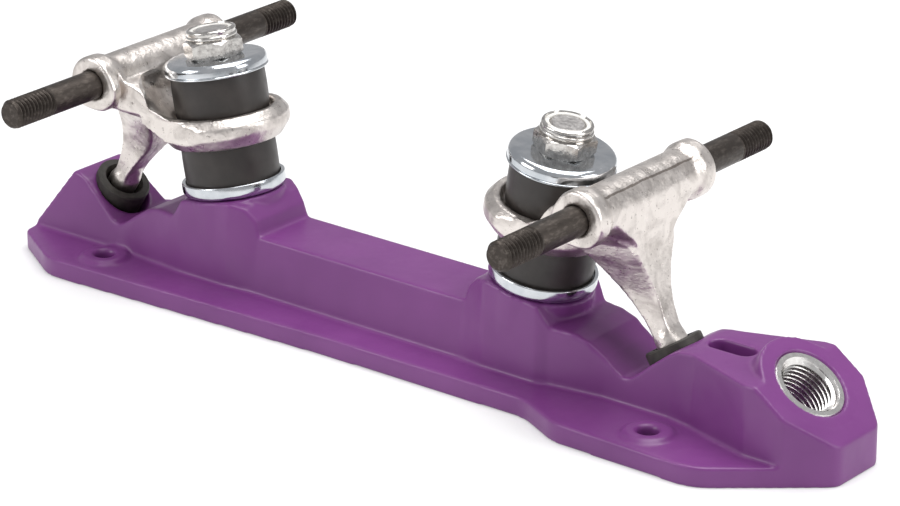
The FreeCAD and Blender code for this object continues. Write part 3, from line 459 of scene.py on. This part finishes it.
def mould_plate(vert):
    """Gives the valley its rounded floor nearer the pivot and the screw pads their full height."""
    x, y, z = (value / MM for value in vert.co)
    run = abs(x)
    if VALLEY_START < run < VALLEY_END and z > FLANGE_TOP:
        solid = level(VALLEY_SOLID, run)
        share = held((z - FLANGE_TOP) / (solid - FLANGE_TOP))
        vert.co.z += (level(VALLEY_MOULDED, run) - solid) * share * MM
    for pad_x, pad_y in PADS:
        if z > PAD_FACE and math.hypot(x - pad_x, abs(y) - pad_y) < PAD_RADIUS:
            vert.co.z += PAD_LIFT * MM


def build_plate(material):
    shape = softened("plate", 0.45 * MM, 7, mould_plate, 180000)
    piece = new_piece("moulded_plate", shape, material, ALL_SMOOTH)
    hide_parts("plate")
    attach(piece, "chassis")


def build_insert(material):
    """Threaded steel insert, its thread 5/8 inch by 18 turns to the inch."""
    inner, outer, pitch = 6.85 * MM, 10.0 * MM, 25.4 / 18 * MM
    root = 7.7 * MM
    top, foot = -0.4 * MM, -16.5 * MM
    cone = 1.5 * MM
    edge = 0.4 * MM

    def limit(radius, height):
        mouth = inner + cone - (top - height)
        exit_mouth = inner + cone / 2 - (height - foot)
        return max(radius, mouth, exit_mouth)

    bm = thread(root, inner, pitch, foot, top, limit, 64)
    lower = loop_edges(bm, foot)
    edges = loop_edges(bm, top)
    for radius, height in ((outer - edge, top), (outer, top - edge), (outer, foot)):
        edges = extend_loop(bm, edges, radius, height)
    bmesh.ops.bridge_loops(bm, edges=edges + lower)
    hole = MOUNTS["toe_stop_hole"]
    axis = Vector(hole["axis"])
    mount_depth = 9 * MM
    stand(bm, Vector(hole["pos_m"]) + mount_depth * axis, axis)
    piece = new_piece("threaded_insert", bm, material, 30)
    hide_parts("toe_stop_insert")
    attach(piece, "chassis")


# Cushion stack on each kingpin

def stack_place(end):
    joint = JOINTS[f"{end}_nut_turn"]
    return Vector(joint["pos_m"]), Vector(joint["axis"])


STACK = {
    "sheet": 1.6 * MM, "outer": 14.25 * MM, "inner": 13.05 * MM, "hole": 5.01 * MM,
    "lower_rim": 4.0 * MM, "cap_top": 37.6 * MM, "skirt": 4.1 * MM, "cushion": 13.0 * MM,
    "cushion_height": 14.9 * MM, "upper_cushion_foot": 21.1 * MM,
}


def build_lower_retainer(end, material):
    """Pressed cup with a rolled foot edge."""
    s = STACK
    bend = 1.9 * MM
    lip = 0.35 * MM
    profile = [(s["hole"], 0)] + corner(s["outer"] - bend, bend, bend, -90, 0, 9)
    profile += corner(s["outer"] - lip, s["lower_rim"] - lip, lip, 0, 90, 4)
    profile += corner(s["inner"] + lip, s["lower_rim"] - lip, lip, 90, 180, 4)
    profile += [(s["inner"], s["sheet"]), (s["hole"], s["sheet"])]
    bm = lathe(profile, 120)
    stand(bm, *stack_place(end))
    piece = new_piece(f"{end}_lower_cup", bm, material, 40)
    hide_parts(f"{end}_lower_retainer")
    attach(piece, "chassis")


def build_upper_retainer(end, material):
    """Pressed cap with a rolled shoulder and a fine bead above the skirt's edge."""
    s = STACK
    top, bend, lip = s["cap_top"], 1.9 * MM, 0.3 * MM
    foot = top - s["skirt"]
    bead = 0.18 * MM
    profile = [(s["hole"], top)] + corner(s["outer"] - bend - bead, top - bend, bend, 90, 0, 9)
    profile += [(s["outer"] - bead, foot + 1.05 * MM), (s["outer"] - 2 * bead, foot + 0.9 * MM)]
    profile += corner(s["outer"] - lip, foot + 0.5 * MM, lip, 60, -90, 6)
    ceiling = top - s["sheet"]
    profile += [(s["inner"], foot + 0.2 * MM), (s["inner"], ceiling), (s["hole"], ceiling)]
    bm = lathe(profile, 120)
    stand(bm, *stack_place(end))
    piece = new_piece(f"{end}_upper_cap", bm, material, 40)
    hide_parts(f"{end}_upper_retainer")
    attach(piece, f"{end}_preload")


def build_cushion(end, level, foot, top, material):
    """Urethane cushion with a slight crown, turned about the kingpin's axis and fixed in place."""
    radius, bore, edge, crown = STACK["cushion"], 5.1 * MM, 1.0 * MM, 0.25 * MM
    bands = 16
    middle = (foot + top) / 2
    half = (top - foot) / 2
    profile = [(bore, foot)] + corner(radius - edge - crown, foot + edge, edge, -90, 0, 5)
    for index in range(1, bands):
        height = foot + edge + (top - foot - 2 * edge) * index / bands
        bulge = crown * (1 - ((height - middle) / half) ** 2)
        profile.append((radius - crown + bulge, height))
    profile += corner(radius - edge - crown, top - edge, edge, 0, 90, 5)
    profile.append((bore, top))
    bm = lathe(profile, 96)
    place, axis = stack_place(end)
    stand(bm, place, axis)
    piece = new_piece(f"{end}_{level}_bushing", bm, material, 60)
    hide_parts(f"{end}_{level}_cushion")
    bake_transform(piece)


def hold_in_hexagon(vert, flat):
    """Moves a point of a round shape in to the nearest flat of a hexagon."""
    radius = math.hypot(vert.co.x, vert.co.y)
    sixth = math.pi / 3
    lean = (math.atan2(vert.co.y, vert.co.x) + sixth / 2) % sixth - sixth / 2
    wall = flat / math.cos(lean)
    if radius > wall:
        vert.co.x *= wall / radius
        vert.co.y *= wall / radius


def build_nut(end, material, ring_material):
    """Lock nut: a chamfered hexagon under a crimped collar that grips a nylon ring."""
    flat, foot, shoulder, top = 7.15 * MM, STACK["cap_top"], 42.3 * MM, 45.6 * MM
    corner_radius = flat / math.cos(math.radians(30))
    seat, seat_radius = top - 2.7 * MM, 6.2 * MM  # of the nylon ring
    bore = 4.81 * MM
    chamfer = 0.75 * MM
    shares = [index / 10 for index in range(11)]
    spread = corner_radius - flat
    profile = [(bore, foot), (flat - 0.1 * MM, foot)]
    profile += [(flat + spread * share, foot + chamfer * share) for share in shares]
    profile += [(corner_radius - spread * share, shoulder - chamfer * (1 - share)) for share in shares]
    collar = 7.0 * MM
    profile += [(collar - 0.55 * MM, shoulder), (collar - 0.55 * MM, shoulder + 0.25 * MM)]
    profile += corner(collar - 0.62 * MM, shoulder + 1.0 * MM, 0.62 * MM, -80, 70, 8)
    profile += [(collar - 0.42 * MM, shoulder + 1.75 * MM)]
    profile += corner(collar - 0.80 * MM, top - 0.85 * MM, 0.62 * MM, 0, 70, 6)
    profile += [(6.0 * MM, top - 0.12 * MM), (5.85 * MM, top - 0.45 * MM), (seat_radius, top - 0.6 * MM)]
    profile += [(seat_radius, seat), (bore, seat)]
    bm = lathe(profile, 180)
    for vert in bm.verts:
        if vert.co.z <= shoulder + 10 * MERGE:
            hold_in_hexagon(vert, flat)
    stand(bm, *stack_place(end))
    piece = new_piece(f"{end}_lock_nut", bm, material, 24)
    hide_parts(f"{end}_kingpin_nut")
    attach(piece, f"{end}_locknut")

    wall, rim = seat_radius - 0.05 * MM, top - 0.42 * MM
    profile = [(bore, seat), (wall, seat), (wall, top - 0.75 * MM), (5.7 * MM, rim)]
    profile += [(bore + 0.2 * MM, rim), (bore, top - 0.6 * MM)]
    bm = lathe(profile, 96)
    stand(bm, *stack_place(end))
    ring = new_piece(f"{end}_locking_ring", bm, ring_material, 40)
    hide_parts(f"{end}_nut_lock_ring")
    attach(ring, f"{end}_locknut")


# Trucks

def build_axle(end, material):
    """Axle with a rolled thread at each end and a plain middle in the hanger."""
    far = MOUNTS[f"{end}_axle_far_end"]
    radius = far["dims"]["r_mm"] * MM
    pitch, depth, chamfer = 1.25 * MM, 0.62 * MM, 0.8 * MM
    half = far["pos_m"][1] + far["dims"]["length_mm"] * MM / 2 + chamfer
    start = half - 14.0 * MM

    def limit(size, height):
        run_out = radius - depth * max(0.0, height - start) / pitch
        tip = radius - chamfer + (half - height)
        return min(max(size, run_out), tip, radius)

    bm = thread(radius, radius - depth, pitch, start, half, limit, 40)
    bmesh.ops.holes_fill(bm, edges=loop_edges(bm, half))
    extend_loop(bm, loop_edges(bm, start), radius, 0)
    bmesh.ops.mirror(bm, geom=all_of(bm), matrix=Matrix.Identity(4), merge_dist=10 * MERGE, axis="Z")
    centre = Vector((far["pos_m"][0], 0, far["pos_m"][2]))
    lay = Matrix.Translation(centre) @ Matrix.Rotation(-math.pi / 2, 4, "X")
    bmesh.ops.transform(bm, matrix=lay, verts=bm.verts)
    piece = new_piece(f"{end}_threaded_axle", bm, material, 30)
    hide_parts(f"{end}_axle")
    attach(piece, f"{end}_truck")


# Lines of the hanger in millimetres, each as it is in the solid and as cast.
# The arms' top line is a height along the kingpin's axis by the distance from it, and the bowl between
# them a radius by that height. The leg's front and back are distances from the axle towards the pivot,
# and its half width, by height above the sole.
AXLE_PLACE = (81.55, 58.0)
KINGPIN_PLACE = (52.6, 27.7)
LEAN = math.radians(10)
BARREL_RADIUS = 6.6
RING_TOP = 23.2
ARM_SOLID = ((0, RING_TOP), (4.1, 26.1), (9.4, 35.5), (13.9, 36.8), (23.25, 34.9))
ARM_CAST = (
    (0, RING_TOP), (4.0, 23.5), (6.2, 25.4), (9.0, 27.4), (9.9, 29.6), (11.3, 31.9), (14.0, 34.0),
    (17.9, 35.5), (20.5, 35.5), (23.25, 34.9),
)
BOWL_SOLID = ((RING_TOP, 14.1), (32.5, 17.05), (50, 17.05))
BOWL_CAST = ((RING_TOP, 14.1), (27.0, 17.0), (32.0, 18.8), (34.0, 20.3), (50, 20.3))
LEG_FOOT, LEG_TOP = 23, 58
FRONT_SOLID = (
    (22.3, 14.6), (30.7, 10.9), (39.3, 7.4), (46.6, 4.5), (51.2, 2.6), (52, 2.75), (53, 4.3), (54, 5.25),
    (56, 6.3), (58, 6.6),
)
FRONT_CAST = (
    (22.3, 14.4), (24, 13.6), (26, 12.4), (30, 10.9), (33, 10.0), (36, 9.1), (39, 8.3), (42, 7.5),
    (45, 6.95), (48, 6.7), (58, 6.6),
)
BACK_SOLID = ((19.9, 10.1), (27.9, 5.5), (35.3, -0.15), (41.4, -5.3), (47.6, -10.2), (50, -12))
BACK_CAST = (
    (19.9, 10.1), (26, 6.2), (28, 4.6), (30, 2.7), (33, -1.0), (36, -2.8), (39, -4.8), (42, -6.8),
    (47.6, -10.2), (50, -12),
)
HALF_SOLID = ((22.3, 2.8), (30.7, 3.45), (39.3, 5.4), (46.6, 10.1), (53.8, 19.0))
HALF_CAST = (
    (22.3, 2.8), (30, 3.0), (33, 3.5), (36, 4.3), (39, 5.4), (42, 6.7), (45, 8.5), (48, 10.0),
    (51, 12.0), (54, 15.5), (57, 18.0),
)


def cast_arms(x, y, z):
    """Lowers the arms to their cast line and opens the bowl between them."""
    run = (x - KINGPIN_PLACE[0]) * math.cos(LEAN) - (z - KINGPIN_PLACE[1]) * math.sin(LEAN)
    rise = (x - KINGPIN_PLACE[0]) * math.sin(LEAN) + (z - KINGPIN_PLACE[1]) * math.cos(LEAN)
    if rise <= RING_TOP or run <= 0:
        return x, y, z
    off_barrel = held((math.hypot(x - AXLE_PLACE[0], z - AXLE_PLACE[1]) - BARREL_RADIUS) / 3)
    radius = math.hypot(run, y)
    inner, arm_thickness = level(BOWL_SOLID, rise), 4.5
    push = (level(BOWL_CAST, rise) - inner) * off_barrel * held(1 - (radius - inner) / arm_thickness)
    if radius > inner - 1:
        y *= 1 + push / radius
        run *= 1 + push / radius
    solid = level(ARM_SOLID, run)
    rise += (level(ARM_CAST, run) - solid) * held((rise - RING_TOP) / (solid - RING_TOP))
    x = KINGPIN_PLACE[0] + run * math.cos(LEAN) + rise * math.sin(LEAN)
    z = KINGPIN_PLACE[1] - run * math.sin(LEAN) + rise * math.cos(LEAN)
    return x, y, z


def eased(table, place):
    """A table's value with its kinks taken out."""
    return sum(level(table, place + step) for step in (-3, -1.5, 0, 1.5, 3)) / 5


def cast_leg(x, y, z, facing):
    """Brings the leg's front flush with the barrel and narrows its flare; facing is the normal along X."""
    ahead = x - AXLE_PLACE[0]
    if not LEG_FOOT < z < LEG_TOP or ahead < BACK_SOLID[-1][1]:
        return x, y, z
    fade = held((z - LEG_FOOT) / 3)
    front, back = level(FRONT_SOLID, z), eased(BACK_SOLID, z)
    foot = back * held((51 - z) / 6)
    share = held((ahead - foot) / (front - foot))
    near = held(1 - (back - ahead) / 3) * held((50 - z) / 5)
    shift = (eased(BACK_CAST, z) - back) * (1 - share) * near
    inside = held((eased(HALF_CAST, z) + 1.5 - abs(y)) / 2.5)
    inside = 1 - (1 - inside) * held((z - 44) / 6)
    cast = eased(FRONT_CAST, z)
    on_face = held((facing - 0.3) / 0.3) * held((ahead - front + 3) / 2)
    shift += ((cast - front) * share * (1 - on_face) + (cast - ahead - shift) * on_face) * inside
    narrow = eased(HALF_CAST, z) / eased(HALF_SOLID, z) - 1
    barrel_foot = AXLE_PLACE[1] - BARREL_RADIUS
    width = held((barrel_foot - z) / 4) * held((ahead - back) / 4 + 1)
    return x + shift * fade, y * (1 + narrow * width * fade), z


def cast_collar(x, y, z):
    """Closes the collars' ends round the bare part of the axle."""
    across, rise = x - AXLE_PLACE[0], z - AXLE_PLACE[1]
    radius = math.hypot(across, rise)
    bore, closed, reach = 4.31, 3.97, 5.4
    if abs(y) < 23 or not 3 < radius < reach:
        return x, y, z
    share = (closed + held((radius - bore) / (reach - bore)) * (reach - closed)) / radius
    return AXLE_PLACE[0] + across * share, y, AXLE_PLACE[1] + rise * share


def build_hanger(end, material):
    side = 1 if end == "front" else -1

    def cast(vert):
        x, y, z = side * vert.co.x / MM, vert.co.y / MM, vert.co.z / MM
        x, y, z = cast_leg(x, y, z, side * vert.normal.x)
        x, y, z = cast_collar(*cast_arms(x, y, z))
        vert.co = (side * x * MM, y * MM, z * MM)

    shape = softened(f"{end}_hanger", 0.4 * MM, 5, cast, 150000)
    piece = new_piece(f"{end}_cast_hanger", shape, material, ALL_SMOOTH)
    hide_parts(f"{end}_hanger")
    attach(piece, f"{end}_truck")


def give(node, material):
    """Gives a CAD node its finish."""
    mesh = frame["nodes"][node].data
    mesh.materials.clear()
    mesh.materials.append(material)


# Floor, light and camera

def studio_floor():
    bm = bmesh.new()
    bmesh.ops.create_grid(bm, x_segments=1, y_segments=1, size=4.0)
    mesh = bpy.data.meshes.new("floor")
    bm.to_mesh(mesh)
    bm.free()
    floor = bpy.data.objects.new("floor", mesh)
    bpy.context.scene.collection.objects.link(floor)
    finish = Finish("floor_white", base_color=shade(0.86, 0.86, 0.86), roughness=0.9)
    path = {name: finish.node("ShaderNodeLightPath", output=name)
            for name in ("Is Camera Ray", "Is Glossy Ray", "Is Transmission Ray")}
    seen = path["Is Camera Ray"] + path["Is Glossy Ray"] + path["Is Transmission Ray"]
    glow = finish.node("ShaderNodeEmission", inputs={"Color": shade(1, 1, 1), "Strength": 1.0})
    lit = Value(finish, finish.shader.outputs[0])
    mixed = finish.node("ShaderNodeMixShader", inputs={0: seen * 0.30, 1: lit, 2: glow})
    finish.tree.links.new(mixed.socket, finish.output.inputs["Surface"])
    mesh.materials.append(finish.material)


def area_light(name, place, aim, width, height, watts):
    data = bpy.data.lights.new(name, "AREA")
    data.shape = "RECTANGLE"
    data.size = width
    data.size_y = height
    data.energy = watts
    light = bpy.data.objects.new(name, data)
    light.location = place
    light.rotation_euler = (Vector(aim) - Vector(place)).to_track_quat("-Z", "Y").to_euler()
    bpy.context.scene.collection.objects.link(light)


def studio_light():
    world = bpy.data.worlds.new("studio")
    bpy.context.scene.world = world
    world.use_nodes = True
    tree = world.node_tree
    tree.nodes["Background"].inputs["Color"].default_value = shade(0.80, 0.80, 0.82)
    tree.nodes["Background"].inputs["Strength"].default_value = 0.60
    area_light("top_softbox", (0.1, 0.1, 0.9), (0, 0, 0), 0.9, 0.7, 9)
    area_light("left_softbox", (-0.5, -0.8, 0.5), (0, 0, 0.03), 0.5, 0.5, 4)
    area_light("right_softbox", (0.9, 0.2, 0.4), (0, 0, 0.03), 0.4, 0.5, 3)


def studio_camera():
    """Camera solved from the photograph."""
    data = bpy.data.cameras.new("camera")
    data.sensor_width = 36
    data.lens = 158
    data.clip_start = 0.05
    data.clip_end = 20
    camera = bpy.data.objects.new("camera", data)
    camera.location = (0.62287, -0.75055, 0.40709)
    azimuth, elevation = math.radians(38.664), math.radians(21.557)
    camera.rotation_euler = (math.pi / 2 - elevation, 0, azimuth)
    bpy.context.scene.collection.objects.link(camera)
    bpy.context.scene.camera = camera


def build_object():
    zinc = bright_zinc()
    urethane = black_urethane()
    oxide = dark_oxide()
    alloy = tumbled_alloy()
    nut = nut_zinc()
    ring = ring_nylon()
    rubber = cup_rubber()
    pin = kingpin_end()
    build_plate(moulded_nylon())
    build_insert(machined_steel())
    lower_foot, upper_foot = STACK["sheet"], STACK["upper_cushion_foot"]
    preload_room = 1.2 * MM
    upper_top = STACK["cap_top"] - STACK["sheet"] - preload_room
    for end in ENDS:
        build_lower_retainer(end, zinc)
        build_upper_retainer(end, zinc)
        build_cushion(end, "lower", lower_foot, lower_foot + STACK["cushion_height"], urethane)
        build_cushion(end, "upper", upper_foot, upper_top, urethane)
        build_nut(end, nut, ring)
        build_axle(end, oxide)
        build_hanger(end, alloy)
        give(f"{end}_pivot_cup", rubber)
        give(f"{end}_kingpin", pin)


def main():
    build_object()
    studio_floor()
    studio_light()
    studio_camera()
    bpy.context.scene.view_settings.view_transform = "Standard"
    bpy.context.view_layer.update()


main()
